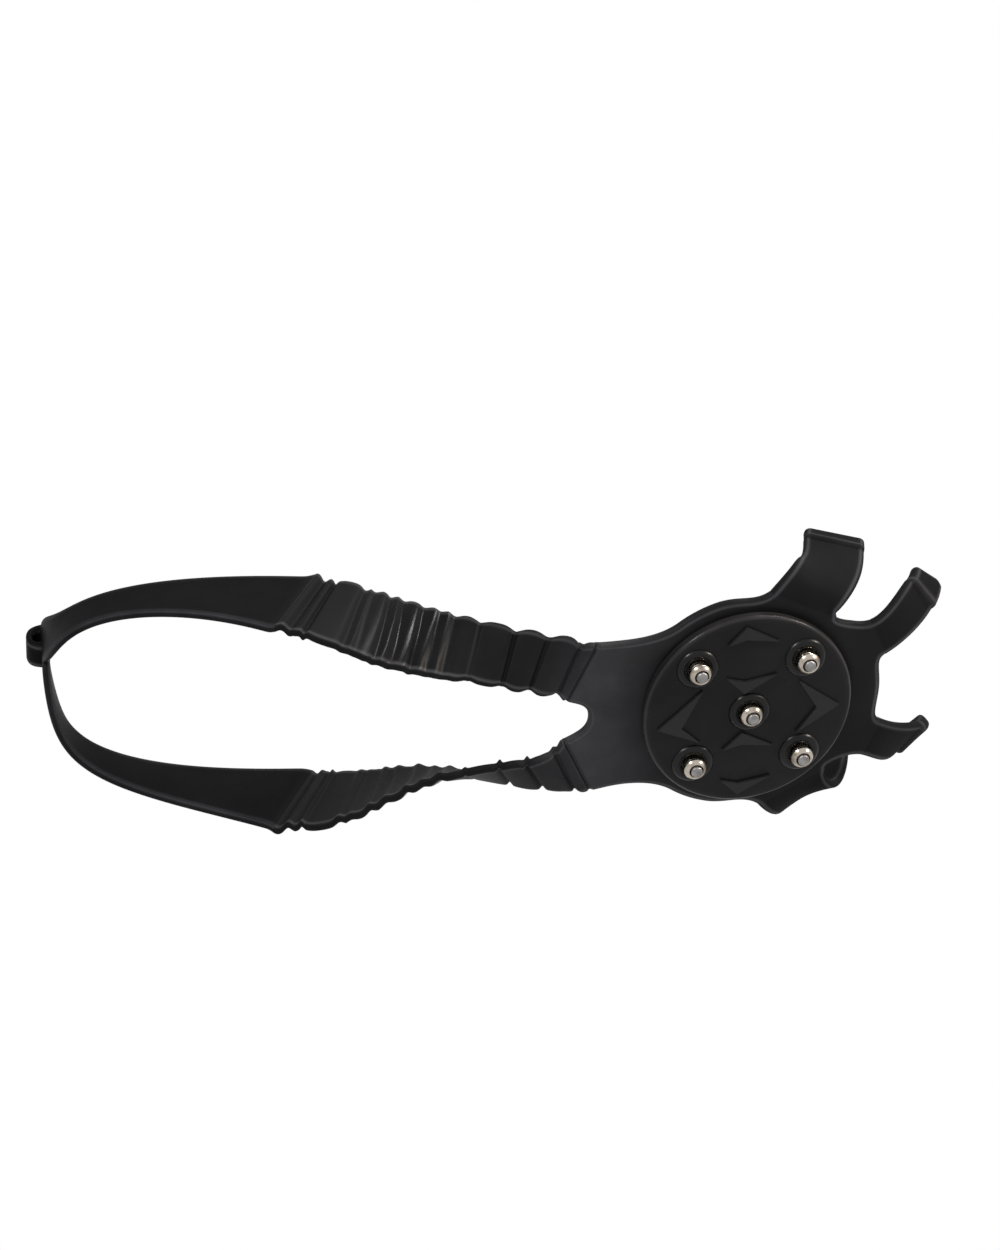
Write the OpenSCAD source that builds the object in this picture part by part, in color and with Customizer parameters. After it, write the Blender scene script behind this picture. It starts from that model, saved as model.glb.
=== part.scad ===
// Anti-slip overshoe: a stretch rubber harness that holds a studded tread pad under
// the ball of a shoe. X points to the toe, Y to the left and Z up. The origin is at the
// tip of the centre stud, on the ground.

/* [Tread pad] */
// Diameter of the round tread pad
pad_d = 66; // [62:1:72]
// Thickness of the tread pad at its rim
pad_t = 3.6; // [3:0.1:4.4]
// Radius along the rim of the tread pad
pad_rim_r = 1.8; // [0.8:0.1:2.4]
// Height of the crown of the pad's face above its rim
pad_crown = 1.2; // [0.4:0.1:1.6]
// Height of the low rubber boss round each stud
boss_h = 0.7; // [0.3:0.1:1]
// Diameter of the boss at the face of the pad
boss_d = 13; // [11:0.5:14]

/* [Arrow pockets] */
// Depth of the pockets below the face of the pad
arrow_d = 1; // [0.6:0.1:1.5]
// Height of the upright wall round a pocket
arrow_wall = 0.3; // [0:0.1:0.4]
// Distance from the pad's centre to the tip of the two long arrows
long_arrow_tip = 28.5; // [26:0.5:30]
// Length of the long arrows from tail to tip
long_arrow_l = 13; // [9:0.5:15]
// Width of the long arrows across their tails
long_arrow_w = 18; // [12:0.5:20]
// Depth of the notch in the tail of the long arrows
long_arrow_notch = 6.5; // [2:0.5:7]
// Distance from the pad's centre to the tip of the outer short arrows
outer_arrow_tip = 30; // [27:0.5:30.5]
// Distance from the pad's centre to the tip of the inner short arrows
inner_arrow_tip = 7.2; // [7:0.1:8]
// Length of the short arrows from tail to tip
short_arrow_l = 5.6; // [4:0.2:7]
// Width of the short arrows across their tails
short_arrow_w = 15.4; // [10:0.2:17]
// Depth of the notch in the tail of the short arrows
short_arrow_notch = 1.6; // [0.6:0.1:2.4]
// How far the tips of the short arrows stand off their middle, towards the heel
short_arrow_skew = 2.2; // [0:0.2:3]

/* [Studs] */
// Side of the square on which the four outer studs stand
stud_pitch = 34; // [32:0.5:36]
// Height of a stud's tip above the rim of the pad's face
stud_out = 6.2; // [5.6:0.1:7.5]
// Diameter of the stud's flange, sunk into the inner face of the web
flange_d = 12; // [9:0.5:14]
// Thickness of the stud's flange
flange_t = 1.2; // [0.8:0.1:1.6]
// Diameter of the stud's shank
shank_d = 5.6; // [4.8:0.1:5.8]
// Diameter of the stud's collar
collar_d = 7.2; // [7:0.1:8]
// Height of the collar
collar_h = 2.2; // [1.8:0.1:2.4]
// Diameter of the collar's tip, to which it tapers
collar_tip_d = 5.4; // [4.8:0.1:6]
// Bevel on the edge of the collar beside the pad
collar_bevel = 0.5; // [0.3:0.1:0.6]
// Diameter of the carbide pin
pin_d = 3.6; // [2.8:0.1:3.8]
// Height of the pin's tip above the collar
pin_out = 0.8; // [0.4:0.1:0.9]
// Length of the carbide pin
pin_l = 4; // [3:0.1:5]
// Gap all round between a stud and the rubber that grips it, and round a pin
stud_gap = 0.05; // [0.02:0.01:0.1]

/* [Sole web] */
// Thickness of the rubber web under the sole
web_t = 3; // [2.4:0.1:4]
// Web left showing round the tread pad
web_margin = 4; // [3.5:0.5:7]
// Distance from the edge of the pad to the front edge of the web
web_front = 10.5; // [9:0.5:13]
// Distance from the edge of the pad to the bottom of the rear notch
notch_back = 16; // [13:0.5:18]

/* [Toe hooks] */
// Thickness of the hooks
hook_t = 2.8; // [2.2:0.1:3.4]
// Outward lean of every hook's tip
hook_flare = 7; // [0:1:14]
// Share of a hook's length that bends
hook_bend = 0.45; // [0.35:0.05:0.55]
// Gap between a zone that bends or stretches and the zone that it carries
zone_gap = 0.1; // [0.05:0.05:0.3]
// Direction of the side hooks round the pad, from the toe
side_hook_a = 62.5; // [58:0.5:66]
// Width of a side hook where it leaves the web
side_hook_root_w = 24; // [21:0.5:26]
// Width of a side hook at its tip
side_hook_w = 19; // [14:0.5:21]
// How far a side hook's tip stands outside its root
side_hook_out = 12; // [9:0.5:14]
// How sharply a side hook leaves the web before it turns up, as a share of that distance
side_hook_reach = 0.9; // [0.6:0.05:0.95]
// How far a side hook's tip stands towards the toe from its root
side_hook_lean = 14; // [8:0.5:17]
// Angle of a side hook's tip from the upright, towards the toe
side_tip_lean = 12; // [4:1:20]
// Height of a side hook's tip above the middle of the web
side_hook_h = 29.5; // [24:0.5:34]
// Turn of a side hook's tip away from its root, round the upright
side_hook_turn = 17; // [0:1:24]
// Share of a side hook's height that runs straight to its tip
side_hook_straight = 0.78; // [0.5:0.02:0.86]
// Direction of the front hooks round the pad, from the toe
front_hook_a = 23.5; // [22:0.5:28]
// Distance from the edge of the pad to the root of the front hooks
front_hook_root = 12.5; // [12:0.5:15]
// Width of a front hook where it leaves the web
front_hook_root_w = 13.5; // [12:0.5:15]
// Width of a front hook at its tip
front_hook_w = 11.5; // [10.5:0.5:15]
// How far a front hook's tip stands outside its root
front_hook_out = 21.5; // [19:0.5:25]
// How sharply a front hook leaves the web before it turns up, as a share of that distance
front_hook_reach = 0.5; // [0.4:0.05:0.8]
// How far a front hook's tip stands towards the toe from its root
front_hook_lean = -1; // [-3:0.5:4]
// Angle of a front hook's tip from the upright, towards the toe
front_tip_lean = -8; // [-14:1:6]
// Height of a front hook's tip above the middle of the web
front_hook_h = 17; // [15:0.5:24]
// Turn of a front hook's tip away from its root, round the upright
front_hook_turn = 28; // [0:1:40]
// Share of a front hook's height that runs straight to its tip
front_hook_straight = 0.36; // [0.3:0.02:0.7]
// Height of the bead along a hook's tip
bead_h = 7; // [4:0.5:8]
// How far the bead stands out of the hook's outer face
bead_out = 1.5; // [0.8:0.1:2]

/* [Side bands] */
// Width of a band where it leaves the web
band_root_w = 21; // [19:0.5:23]
// Width of a band where it is narrowest
band_w = 18.5; // [16:0.5:20]
// Distance from the edge of the pad back to the middle of a band's root
band_root_back = 20; // [18:0.5:23]
// Distance of the middle of a band's root from the centre line
band_root_side = 17; // [15:0.5:19]
// Angle between the band's root and straight back
band_heading = 25; // [20:1:28]
// How far a band is drawn in at the waist of the shoe
waist_in = 6; // [0:0.5:8]
// How far a band is lifted at the waist of the shoe
waist_up = 3.5; // [0:0.5:6]
// Number of waves along a band
band_waves = 13; // [11:1:15]
// How much closer the waves stand in the middle of a band than on average
wave_gather = 0.35; // [0:0.05:0.5]
// Height of the waves from valley to peak
wave_h = 1.3; // [0.8:0.1:2.4]
// Width of a valley as a share of its wave
valley_share = 0.2; // [0.15:0.01:0.3]
// How far the edges of a band are drawn in at each valley
valley_in = 1.6; // [0.4:0.1:2]
// How far the last wave, beside the heel strap, stands above the others
ridge_h = 1.2; // [0:0.1:2]
// Share of their height that the waves lose at the middle of the band
wave_calm = 0.5; // [0:0.05:0.8]
// Slant of the waves across the band beside the web
wave_slant = 16; // [0:1:20]
// Slant of the waves across the band beside the heel strap
joint_slant = 10; // [0:1:16]

/* [Heel strap] */
// Distance from the pad's centre to the back of the heel strap
heel_reach = 204; // [190:1:220]
// Distance from the back of the strap forward to the side bands
strap_l = 69; // [64:1:76]
// Half the width between the two joints of strap and bands
joint_half_w = 35; // [33:0.5:40]
// Height of the middle of the joint above the sole seat
joint_h = 23.5; // [20:0.5:30]
// Width of the strap at the joint
joint_w = 33.5; // [27:0.5:36]
// Width of the strap round the heel
strap_w = 14; // [12:0.5:18]
// Thickness of the strap
strap_t = 2.4; // [2:0.1:3]
// Height that the strap climbs from the joint to the heel
strap_rise = 30; // [22:0.5:34]
// Angle at which the strap climbs away from the joint
joint_slope = 23; // [16:1:30]
// Height of the peak at the back of the heel
peak_h = 16; // [6:0.5:18]
// Half the width of that peak
peak_w = 12; // [10:0.5:16]
// Lean of the strap towards the shoe at the heel
strap_lean = 6; // [0:1:10]
// How far the strap swells back either side of the peak
heel_swell = 3; // [0:0.5:4]

/* [Pull loop] */
// Height of the pull loop
loop_h = 12; // [11:0.5:15]
// Height of the middle of the pull loop above the middle of the strap
loop_up = 1.2; // [0:0.2:2]
// Width of the pull loop
loop_w = 8.5; // [8:0.5:13]
// Thickness of the pull loop
loop_t = 2; // [1.6:0.1:2.4]
// Finger gap between the loop and the strap
loop_gap = 2.2; // [2:0.1:4]
// Gap between the feet of the loop and the strap
loop_seat = 0.3; // [0.2:0.05:0.5]

/* [Hidden] */
$fn = 64;

rubber = "#1d1c1e";
pad_rubber = "#19181a";
steel = "#c8c3b8";
carbide = "#7b7d80";

// Heights of the faces above the ground
pad_z = stud_out;
web_z = pad_z + pad_t;
seat_z = web_z + web_t;
web_mid = web_z + web_t / 2;
pad_r = pad_d / 2;
web_r = pad_r + web_margin;

// How far a cut runs past the faces that it opens
past = 1;

// Directions, blends and curves
up = [0, 0, 1];
function along(a) = [cos(a), sin(a), 0];
function across(a) = [sin(a), -cos(a), 0];
function unit(v) = v / norm(v);
function flat(v) = [v[0], v[1]];
function mix(a, b, t) = a + (b - a) * t;
function ease(t) = t * t * (3 - 2 * t);
function bezier(p, t) =
  let (s = 1 - t)
  s * s * s * p[0] + 3 * t * s * s * p[1] + 3 * t * t * s * p[2] + t * t * t * p[3];
function bezier_rate(p, t) =
  let (s = 1 - t)
  3 * (s * s * (p[1] - p[0]) + 2 * t * s * (p[2] - p[1]) + t * t * (p[3] - p[2]));
function bezier_dir(p, t) = unit(bezier_rate(p, t));
function curve(p, n) = [for (i = [0:n]) bezier(p, i / n)];

// Section of a rubber ribbon with round edges, set square to the direction dir.
// It is w wide along wide and t thick, and its middle stands out by out from the path.
// A slanted section runs back along the path at the side that wide points to.
edge_share = 0.42;
function ribbon_ring(at, dir, wide, w, t, out = 0, slant = 0) =
  let (
    square = unit(wide - (wide * dir) * dir),
    u = square - dir * tan(slant),
    v = cross(dir, square),
    r = t * edge_share
  )
  [for (k = [0:3], a = [0, 45, 90])
    let (
      su = (k == 0 || k == 3) ? 1 : -1,
      sv = k < 2 ? 1 : -1,
      turn = a + 90 * k
    )
    at + u * (su * (w / 2 - r) + r * cos(turn)) + v * (out + sv * (t / 2 - r) + r * sin(turn))];

// Solid through a row of such sections
module skin(rings) {
  n = len(rings[0]);
  last = (len(rings) - 1) * n;
  polyhedron(
    points = [for (ring = rings) each ring],
    faces = concat(
      [for (i = [1:n - 2]) [0, i, i + 1]],
      [for (j = [0:len(rings) - 2], i = [0:n - 1], half = [0, 1])
        let (
          a = j * n + i,
          b = j * n + (i + 1) % n
        )
        half == 0 ? [a, a + n, b + n] : [a, b + n, b]],
      [for (i = [1:n - 2]) [last, last + i + 1, last + i]]
    )
  );
}

module on_side(side) {
  mirror([0, side < 0 ? 1 : 0, 0]) children();
}

// Where the bands and hooks leave the web, on the left side
band_root = [-(pad_r + band_root_back), band_root_side, web_mid];
band_dir = along(180 - band_heading);
band_edge = across(180 - band_heading) * band_root_w / 2;
side_root = along(side_hook_a) * web_r + up * web_mid;
side_edge = across(side_hook_a) * side_hook_root_w / 2;
front_root = along(front_hook_a) * (pad_r + front_hook_root) + up * web_mid;
front_edge = across(front_hook_a) * front_hook_root_w / 2;

// Outline of the left half of the web, from the rear notch round to the front edge.
// It follows the pad's circle between the two angles given here.
waist_a = 126;
shoulder_a = 106;
arc_step = 5;
shoulder_round = 7;
side_flare = 24;
side_flank = 6;
notch_round = [0, 5];
notch_flank = [4, -2];
waist_flank = [9, -1];
waist_round = 9;
side_round = 1.5;
front_round = 3.5;
front_corner = 10;
notch_bottom = [-(pad_r + notch_back), 0];
inner_corner = flat(band_root - band_edge);
outer_corner = flat(band_root + band_edge);
waist = flat(along(waist_a) * web_r);
shoulder = flat(along(shoulder_a) * web_r);
side_rear = flat(side_root - side_edge);
side_front = flat(side_root + side_edge);
front_rear = flat(front_root - front_edge);
front_x = pad_r + web_front;
web_half = concat(
  curve([notch_bottom, notch_bottom + notch_round, inner_corner + notch_flank, inner_corner], 8),
  curve([outer_corner, outer_corner + waist_flank,
    waist + waist_round * flat(along(waist_a + 90)), waist], 8),
  [for (a = [waist_a - arc_step:-arc_step:shoulder_a + arc_step]) flat(along(a) * web_r)],
  curve([shoulder, shoulder + shoulder_round * flat(along(shoulder_a - 90)),
    side_rear - side_flank * flat(along(side_hook_a - side_flare)), side_rear], 8),
  curve([side_front, side_front - side_round * flat(along(side_hook_a)),
    front_rear - front_round * flat(along(front_hook_a)), front_rear], 8),
  [flat(front_root + front_edge)],
  [[front_x, front_root[1] - front_corner], [front_x, 0]]
);
web_outline = concat(web_half, [for (i = [len(web_half) - 2:-1:1]) [web_half[i][0], -web_half[i][1]]]);

stud_at = stud_pitch / 2;
stud_places = concat([[0, 0]], [for (x = [-1, 1], y = [-1, 1]) [x, y] * stud_at]);
module at_studs() {
  for (p = stud_places)
    translate(p) children();
}

// Flat rubber web under the sole, with a seat for each stud's flange
module sole_web() {
  color(rubber)
    difference() {
      translate([0, 0, web_z])
        linear_extrude(web_t)
          polygon(web_outline);
      at_studs() {
        translate([0, 0, web_z - past])
          cylinder(d = shank_d + 2 * stud_gap, h = web_t + 2 * past);
        translate([0, 0, seat_z - flange_t - stud_gap])
          cylinder(d = flange_d + 2 * stud_gap, h = web_t);
      }
    }
}

// Height of the pad's crowned face at a point
face_r = pad_r - pad_rim_r;
function face_z(p) = pad_z - pad_crown * (1 - pow(norm(p) / face_r, 2));

// Cutter of an arrow pocket that points along the X axis, out or, turned, to the pad's
// centre. Four facets fall from the foot of its wall to the deepest point, a share of the
// way from tip to notch.
deep_share = 0.75;
module arrow_pocket(tip, l, w, notch, skew = 0, out = 1) {
  outline = [
    [tip, skew], [tip - out * l, w / 2 * out],
    [tip + out * (notch - l), skew], [tip - out * l, -w / 2 * out]
  ];
  deep = mix(outline[0], outline[2], deep_share);
  polyhedron(
    points = concat(
      [for (p = outline) [p[0], p[1], face_z(p) + arrow_wall]],
      [for (p = outline) [p[0], p[1], face_z(p) - past]],
      [[deep[0], deep[1], face_z(deep) + arrow_d]]
    ),
    faces = [
      [0, 8, 1], [0, 3, 8], [1, 8, 2], [2, 8, 3],
      [0, 5, 4], [0, 1, 5], [1, 6, 5], [1, 2, 6], [2, 7, 6], [2, 3, 7], [3, 4, 7], [3, 0, 4],
      [4, 5, 6], [4, 6, 7]
    ]
  );
}

// Round tread pad with a crowned face, its stud bosses and six arrow pockets
boss_slope = 2;
boss_root = 0.6;
face_steps = 10;
rim_step = 15;
module tread_pad() {
  color(pad_rubber)
    difference() {
      union() {
        rotate_extrude()
          polygon(concat(
            [for (i = [0:face_steps]) let (r = face_r * i / face_steps) [r, face_z([r, 0])]],
            [for (a = [rim_step - 90:rim_step:0])
              [face_r + pad_rim_r * cos(a), pad_z + pad_rim_r * (1 + sin(a))]],
            [[pad_r, web_z], [0, web_z]]
          ));
        for (p = stud_places)
          translate([p[0], p[1], face_z(p) - boss_h]) {
            cylinder(d1 = boss_d - 2 * boss_slope * boss_h, d2 = boss_d, h = boss_h);
            translate([0, 0, boss_h])
              cylinder(d = boss_d, h = boss_root);
          }
      }
      at_studs()
        translate([0, 0, face_z([0, 0]) - boss_h - past])
          cylinder(d = shank_d + 2 * stud_gap, h = pad_t + pad_crown + boss_h + 2 * past);
      for (turn = [0, 180])
        rotate(turn)
          arrow_pocket(long_arrow_tip, long_arrow_l, long_arrow_w, long_arrow_notch);
      for (side = [1, -1])
        rotate(90 * side) {
          arrow_pocket(outer_arrow_tip, short_arrow_l, short_arrow_w, short_arrow_notch,
            side * short_arrow_skew);
          arrow_pocket(inner_arrow_tip, short_arrow_l, short_arrow_w, short_arrow_notch,
            side * short_arrow_skew, out = -1);
        }
    }
}

// Toe hooks: each is a curved ribbon from the web's edge up to a bead at its tip
function hook_path(root, a, out, reach, lean, tip_lean, h, straight) =
  let (
    tip = root + along(a) * out + across(a) * lean + up * h,
    tip_dir = unit(up + across(a) * tan(tip_lean) + along(a) * tan(hook_flare))
  )
  [root, root + along(a) * out * reach, tip - tip_dir * h * straight, tip];
function hook_ring(path, a, turn, root_w, w, t, thick, off = 0) =
  ribbon_ring(bezier(path, t), bezier_dir(path, t), across(a + turn * ease(t)),
    w + (root_w - w) * pow(1 - t, 4), thick, off);

module hook_root(path, a, turn, root_w, w) {
  steps = 7;
  skin([for (i = [0:steps])
    let (t = hook_bend * i / steps)
    hook_ring(path, a, turn, root_w, w, t, mix(web_t, hook_t, i / steps))]);
}

// The bead has an upright face below, and a chamfer that slopes back to the tip
bead_face = 0.65;
module hook_blade(path, a, turn, root_w, w) {
  steps = 7;
  start_t = hook_bend + zone_gap / norm(bezier_rate(path, hook_bend));
  bead_t = 1 - bead_h / norm(bezier_rate(path, 1));
  slope = 0.02;
  chamfer_t = mix(bead_t, 1, bead_face);
  skin(concat(
    [for (i = [0:steps]) hook_ring(path, a, turn, root_w, w, mix(start_t, bead_t, i / steps), hook_t)],
    [for (t = [bead_t + slope, mix(bead_t, chamfer_t, 0.5), chamfer_t])
      hook_ring(path, a, turn, root_w, w, t, hook_t + bead_out, bead_out / 2)],
    [hook_ring(path, a, turn, root_w, w - bead_out, 1, hook_t)]
  ));
}

side_path = hook_path(side_root, side_hook_a, side_hook_out, side_hook_reach,
  side_hook_lean, side_tip_lean, side_hook_h, side_hook_straight);
front_path = hook_path(front_root, front_hook_a, front_hook_out, front_hook_reach,
  front_hook_lean, front_tip_lean, front_hook_h, front_hook_straight);

module side_hook_bend(side) {
  color(rubber)
    on_side(side)
      hook_root(side_path, side_hook_a, side_hook_turn, side_hook_root_w, side_hook_w);
}

module side_hook(side) {
  color(rubber)
    on_side(side)
      hook_blade(side_path, side_hook_a, side_hook_turn, side_hook_root_w, side_hook_w);
}

module front_hook_bend(side) {
  color(rubber)
    on_side(side)
      hook_root(front_path, front_hook_a, front_hook_turn, front_hook_root_w, front_hook_w);
}

module front_hook(side) {
  color(rubber)
    on_side(side)
      hook_blade(front_path, front_hook_a, front_hook_turn, front_hook_root_w, front_hook_w);
}

// Path of the heel strap: q runs from 1 at the left joint through 0 at the heel to -1
joint = [-(heel_reach - strap_l), joint_half_w, seat_z + joint_h];
heel_round = 27;
heel_drop = 6;
side_run = 51;
side_swell = 1.5;
swell_lead = 0.75;
strap_taper = 3.8;
slant_fade = 6;
strap_half = [
  [-heel_reach, 0, joint[2] + strap_rise],
  [-heel_reach, heel_round, joint[2] + strap_rise - heel_drop],
  joint + [-side_run * cos(joint_slope), side_swell, side_run * sin(joint_slope)],
  joint
];
function strap_at(q) =
  let (
    p = bezier(strap_half, abs(q)),
    swell = heel_swell * pow(sin(180 * pow(abs(q), swell_lead)), 2),
    peak = peak_h * exp(-pow(p[1] / peak_w, 2))
  )
  [p[0] - swell, sign(q) * p[1], p[2] + peak];
function strap_dir(q) = unit(strap_at(q - 0.01) - strap_at(q + 0.01));
function strap_ring(q) =
  let (
    dir = strap_dir(q),
    lean = strap_lean * (1 - q * q)
  )
  ribbon_ring(strap_at(q), dir, up * cos(lean) - unit(cross(dir, up)) * sin(lean),
    mix(strap_w, joint_w, pow(abs(q), strap_taper)), strap_t,
    slant = sign(q) * joint_slant * pow(abs(q), slant_fade));

module heel_strap() {
  steps = 28;
  color(rubber)
    skin([for (i = [-steps:steps]) strap_ring(-i / steps)]);
}

// Corrugated side band, which twists from flat under the sole to upright at the joint
joint_dir = bezier_dir(strap_half, 1);
band_root_run = 20;
band_joint_run = 36;
twist_start = 0.12;
twist_lead = 0.65;
band_taper = 1.4;
root_flare = 8;
band_path = [band_root, band_root + band_dir * band_root_run, joint + joint_dir * band_joint_run, joint];
function band_at(t) = bezier(band_path, t) + [0, -waist_in, waist_up] * pow(sin(180 * t), 2);
function band_along(t) = unit(band_at(t + 0.005) - band_at(t - 0.005));
function band_width(t) =
  mix(band_w, joint_w, ease(pow(t, band_taper))) + (band_root_w - band_w) * pow(1 - t, root_flare);
band_end = 1 - zone_gap / norm(bezier_rate(band_path, 1));
wave_crown = 0.35;
ridge_share = 0.3;
wave_steps = [0, 0.1, 0.2, 0.35, 0.5, 0.65, 0.8, 0.9];
function band_ring(wave) =
  let (
    s = wave / band_waves,
    t = band_end * (s + wave_gather * sin(360 * s) / (2 * PI)),
    dir = band_along(t),
    start = ease(min(1, t / twist_start)),
    roll = 90 * pow(t, twist_lead) * start,
    fade = min(1, 2 * wave, 2 * (band_waves - wave)) * (1 - wave_calm * pow(sin(180 * t), 2)),
    valley = fade * exp(-pow((wave - round(wave)) / valley_share, 2)),
    ridge = exp(-pow((band_waves - 0.5 - wave) / ridge_share, 2))
  )
  ribbon_ring(band_at(t), dir, unit(cross(dir, up)) * cos(roll) + up * sin(roll),
    band_width(t) - 2 * valley_in * valley, mix(web_t, strap_t, t),
    wave_h * (wave_crown * fade - valley) + ridge_h * ridge,
    (t < 0.5 ? wave_slant * start : joint_slant) * pow(cos(180 * t), 2));

module side_band(side) {
  color(rubber)
    on_side(side)
      skin(concat(
        [for (wave = [0:band_waves - 1], step = wave_steps) band_ring(wave + step)],
        [band_ring(band_waves)]
      ));
}

// Pull loop on the back of the heel strap
module pull_loop() {
  steps = 20;
  back = strap_at(0);
  side = strap_at(loop_w / 2 / (3 * heel_round));
  face_x = min(back[0], side[0]) - strap_t / 2 - loop_seat;
  foot = (loop_h - loop_t) / 2;
  bow = [-(loop_gap + loop_t / 2) * 4 / 3, 0, 0];
  low = [face_x + (loop_up - foot) * tan(strap_lean), 0, back[2] + loop_up - foot];
  high = [face_x + (loop_up + foot) * tan(strap_lean), 0, back[2] + loop_up + foot];
  path = [low, low + bow, high + bow, high];
  color(rubber)
    skin([for (i = [0:steps])
      ribbon_ring(bezier(path, i / steps), bezier_dir(path, i / steps), [0, 1, 0], loop_w, loop_t)]);
}

// Steel stud: flange in the web, shank through web and pad, tapered collar, blind bore
module stud(p) {
  bore_r = pin_d / 2 + stud_gap;
  collar_r = collar_d / 2;
  collar_top = pin_out + collar_h;
  color(steel)
    translate(p * stud_at)
      rotate_extrude()
        polygon([
          [bore_r, pin_out], [collar_tip_d / 2, pin_out],
          [collar_r, collar_top - 2 * collar_bevel], [collar_r, collar_top - collar_bevel],
          [collar_r - collar_bevel, collar_top], [shank_d / 2, collar_top],
          [shank_d / 2, seat_z - flange_t], [flange_d / 2, seat_z - flange_t],
          [flange_d / 2, seat_z], [0, seat_z], [0, pin_l], [bore_r, pin_l]
        ]);
}

// Carbide pin with a bevelled tip
pin_bevel = 0.3;
module pin(p) {
  color(carbide)
    translate(p * stud_at)
      rotate_extrude()
        polygon([
          [0, 0], [pin_d / 2 - pin_bevel, 0], [pin_d / 2, pin_bevel], [pin_d / 2, pin_l], [0, pin_l]
        ]);
}

sole_web();
tread_pad();
side_hook_bend(1);  // side_hook_left_bend
side_hook(1);  // side_hook_left
front_hook_bend(1);  // front_hook_left_bend
front_hook(1);  // front_hook_left
side_hook_bend(-1);  // side_hook_right_bend
side_hook(-1);  // side_hook_right
front_hook_bend(-1);  // front_hook_right_bend
front_hook(-1);  // front_hook_right
side_band(1);  // side_band_left
side_band(-1);  // side_band_right
heel_strap();
pull_loop();
stud([0, 0]);  // stud_centre
stud([1, 1]);  // stud_front_left
stud([1, -1]);  // stud_front_right
stud([-1, 1]);  // stud_rear_left
stud([-1, -1]);  // stud_rear_right
pin([0, 0]);  // pin_centre
pin([1, 1]);  // pin_front_left
pin([1, -1]);  // pin_front_right
pin([-1, 1]);  // pin_rear_left
pin([-1, -1]);  // pin_rear_right
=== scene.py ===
import math

import bpy
import numpy as np
from mathutils import Matrix, Vector


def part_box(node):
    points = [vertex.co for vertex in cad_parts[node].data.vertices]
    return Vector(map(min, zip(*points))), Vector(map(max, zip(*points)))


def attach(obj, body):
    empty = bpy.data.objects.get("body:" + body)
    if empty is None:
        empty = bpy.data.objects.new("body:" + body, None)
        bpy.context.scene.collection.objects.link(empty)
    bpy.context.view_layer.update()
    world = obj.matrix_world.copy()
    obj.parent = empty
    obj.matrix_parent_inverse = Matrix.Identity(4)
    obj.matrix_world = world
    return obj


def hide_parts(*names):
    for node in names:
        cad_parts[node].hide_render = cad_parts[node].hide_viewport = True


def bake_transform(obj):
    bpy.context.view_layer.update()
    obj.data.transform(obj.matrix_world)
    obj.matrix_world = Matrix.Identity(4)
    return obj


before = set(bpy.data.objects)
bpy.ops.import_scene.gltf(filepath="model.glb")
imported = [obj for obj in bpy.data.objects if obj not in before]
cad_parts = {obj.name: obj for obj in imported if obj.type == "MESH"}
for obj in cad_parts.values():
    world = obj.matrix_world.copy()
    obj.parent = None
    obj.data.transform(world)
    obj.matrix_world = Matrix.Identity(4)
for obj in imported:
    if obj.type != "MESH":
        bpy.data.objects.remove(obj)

scene = bpy.context.scene
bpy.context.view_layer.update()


# Camera: a long lens that looks up at the tread from below, from behind the right side, and is
# turned about its own axis so that the toe end points to the right.
view_azimuth = -22.32
view_elevation = -55.36
view_roll = -24.6
view_distance = 1.45
view_target = Vector((-0.0808, -0.0438, -0.0002))
picture_height = 1250
focal_pixels = 4905

turn = (
    Matrix.Rotation(math.radians(view_azimuth), 4, "Z")
    @ Matrix.Rotation(math.radians(90 - view_elevation), 4, "X")
    @ Matrix.Rotation(math.radians(view_roll), 4, "Z")
)
lens = bpy.data.cameras.new("camera")
lens.sensor_width = 36
lens.lens = lens.sensor_width * focal_pixels / picture_height
camera = bpy.data.objects.new("camera", lens)
camera.matrix_world = Matrix.Translation(view_target + turn.col[2].to_3d() * view_distance) @ turn
scene.collection.objects.link(camera)
scene.camera = camera


# Studio: a pale floor under the studs, a white surround, three small lamps that the rubber
# mirrors and three soft ones that it doesn't. The floor shows only from above, because the
# camera looks up through it, and it keeps the shadow.
floor_half = 4.0
floor_hex = "#eceae6"
surround_hex = "#ffffff"
ambient = 0.42


def colour(code):
    """Linear RGBA of an sRGB hex colour."""
    shades = [int(code[i : i + 2], 16) / 255 for i in (1, 3, 5)]
    return [s / 12.92 if s <= 0.04045 else ((s + 0.055) / 1.055) ** 2.4 for s in shades] + [1.0]


def add_node(tree, kind, inputs=(), **settings):
    """A node with its settings, and with each input set to a value or linked to a socket or to the
    first output of another node."""
    made = tree.nodes.new(kind)
    for name, value in settings.items():
        setattr(made, name, value)
    for name, value in dict(inputs).items():
        if isinstance(value, bpy.types.Node):
            value = value.outputs[0]
        if isinstance(value, bpy.types.NodeSocket):
            tree.links.new(value, made.inputs[name])
        else:
            made.inputs[name].default_value = value
    return made


scene.view_settings.view_transform = "Standard"
world = bpy.data.worlds.new("white surround")
world.use_nodes = True
world.node_tree.nodes.clear()
scene.world = world
path = add_node(world.node_tree, "ShaderNodeLightPath")
seen = add_node(
    world.node_tree, "ShaderNodeMath",
    {0: path.outputs["Is Camera Ray"], 1: path.outputs["Is Glossy Ray"]}, operation="MAXIMUM",
)
seen = add_node(
    world.node_tree, "ShaderNodeMath",
    {0: seen, 1: path.outputs["Is Transmission Ray"]}, operation="MAXIMUM",
)
strength = add_node(
    world.node_tree, "ShaderNodeMapRange", {"Value": seen, "To Min": ambient, "To Max": 1.0}
)
surround = add_node(
    world.node_tree, "ShaderNodeBackground",
    {"Color": colour(surround_hex), "Strength": strength},
)
add_node(world.node_tree, "ShaderNodeOutputWorld", {"Surface": surround})

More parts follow.
